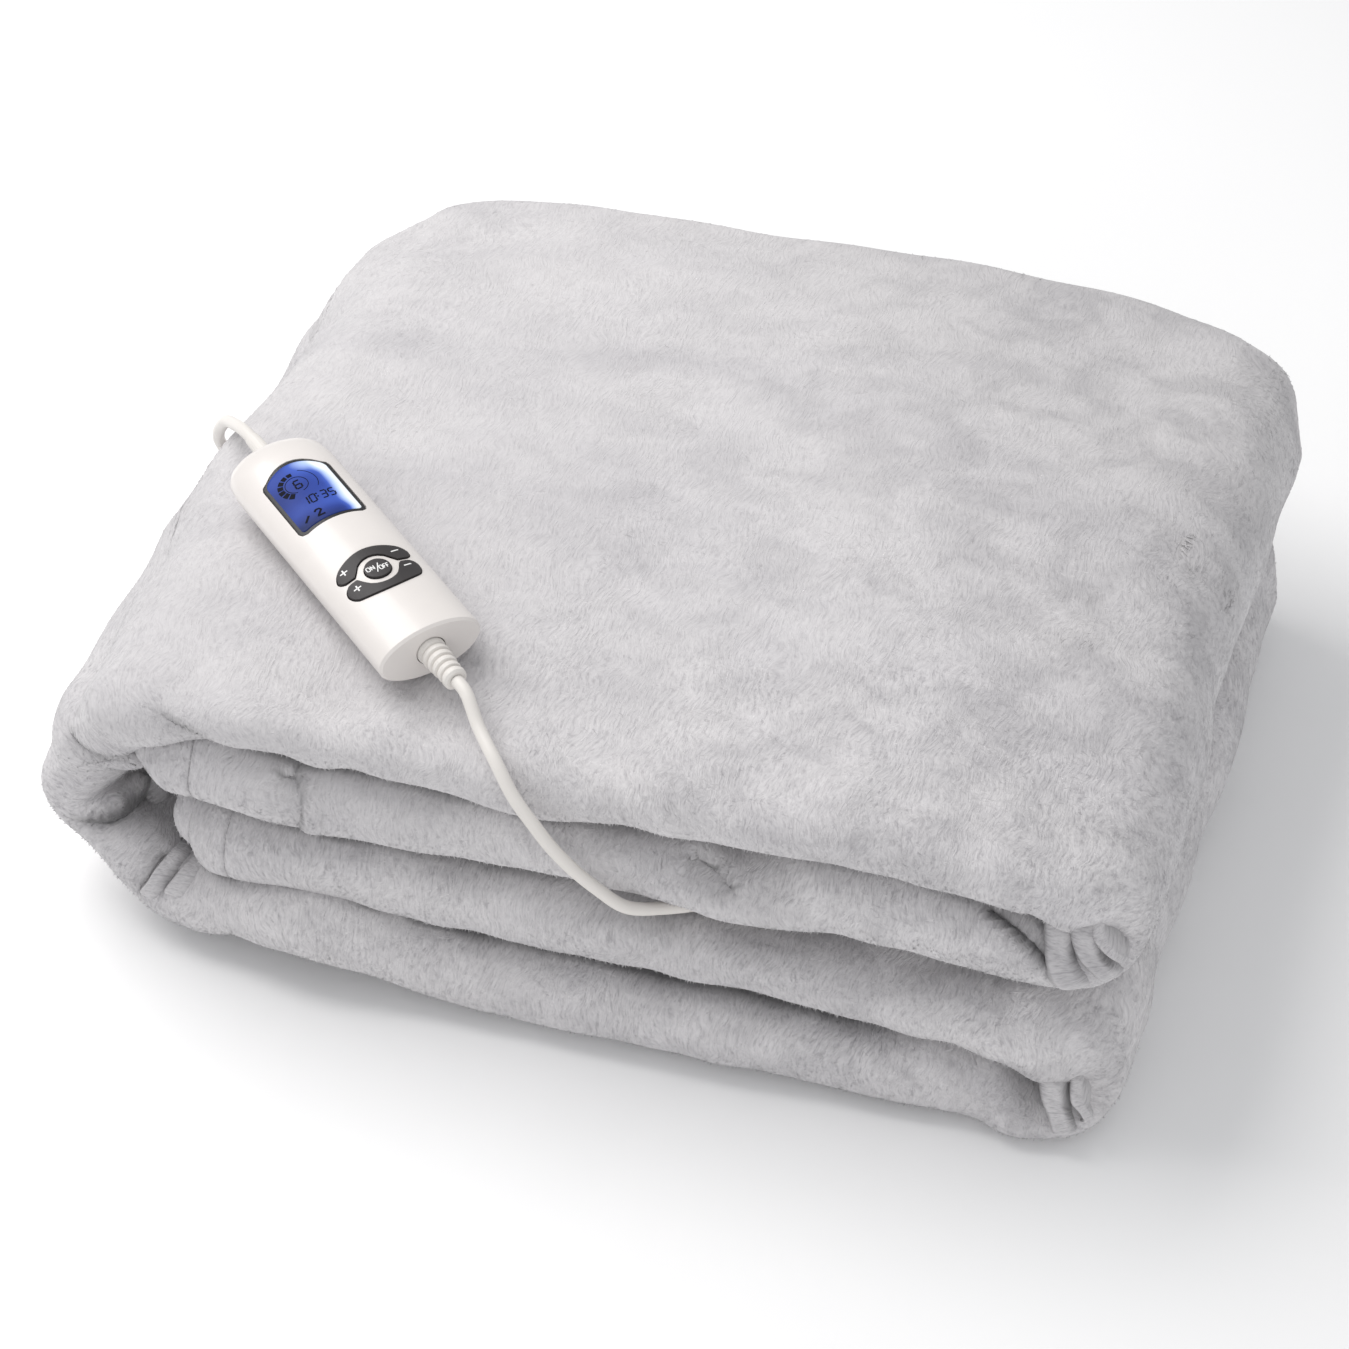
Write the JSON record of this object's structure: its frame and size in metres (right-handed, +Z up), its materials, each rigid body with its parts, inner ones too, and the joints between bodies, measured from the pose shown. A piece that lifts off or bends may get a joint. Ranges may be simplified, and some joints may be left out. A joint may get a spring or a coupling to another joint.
{
  "type": "folded electric heated blanket",
  "caption": "Fleece electric heated blanket folded into a thick soft packet, with a hand controller lying on it and its leads and plug.",
  "frame": {"origin": "middle of the folded blanket's foot, on the surface it rests on", "axes": "+Z up, +X along the width of the folded blanket with the wrapped side at -X, -Y towards the front with the folded lips"},
  "size_m": [0.4024, 0.4216, 0.1489],
  "materials": {
    "fleece": "soft brushed fleece",
    "shell": "smooth off-white",
    "screen": "deep blue display",
    "keys": "dark soft-touch",
    "lead": "off-white flexible plastic",
    "pin": "plated"
  },
  "bodies": {
    "base": {"blanket": "fleece", "controller_upper": "shell", "controller_lower": "shell", "display_window": "screen", "relief_near": "lead", "relief_far": "lead", "lead_blanket": "lead", "lead_mains": "lead", "lead_coil": "lead", "lead_tail": "lead", "plug_body": "lead", "plug_pin_1": "pin", "plug_pin_2": "pin"},
    "power_key": {"power_button": "keys"},
    "upper_key": {"rocker_upper": "keys"},
    "lower_key": {"rocker_lower": "keys"}
  },
  "joints": [
    {"name": "power_press", "type": "slide", "parent": "base", "child": "power_key", "axis": [-0.0547, -0.0599, 0.9967], "range_m": [-0.0007, 0], "stiffness_N_per_m": 400},
    {"name": "upper_rock", "type": "hinge", "parent": "base", "child": "upper_key", "pos_m": [-0.07927, -0.10443, 0.14444], "axis": [0.7477, -0.664, 0.0011], "range_deg": [-2.5, 2.5], "stiffness_Nm_per_rad": 0.05},
    {"name": "lower_rock", "type": "hinge", "parent": "base", "child": "lower_key", "pos_m": [-0.07927, -0.10443, 0.14444], "axis": [0.7477, -0.664, 0.0011], "range_deg": [-2.5, 2.5], "stiffness_Nm_per_rad": 0.05}
  ]
}
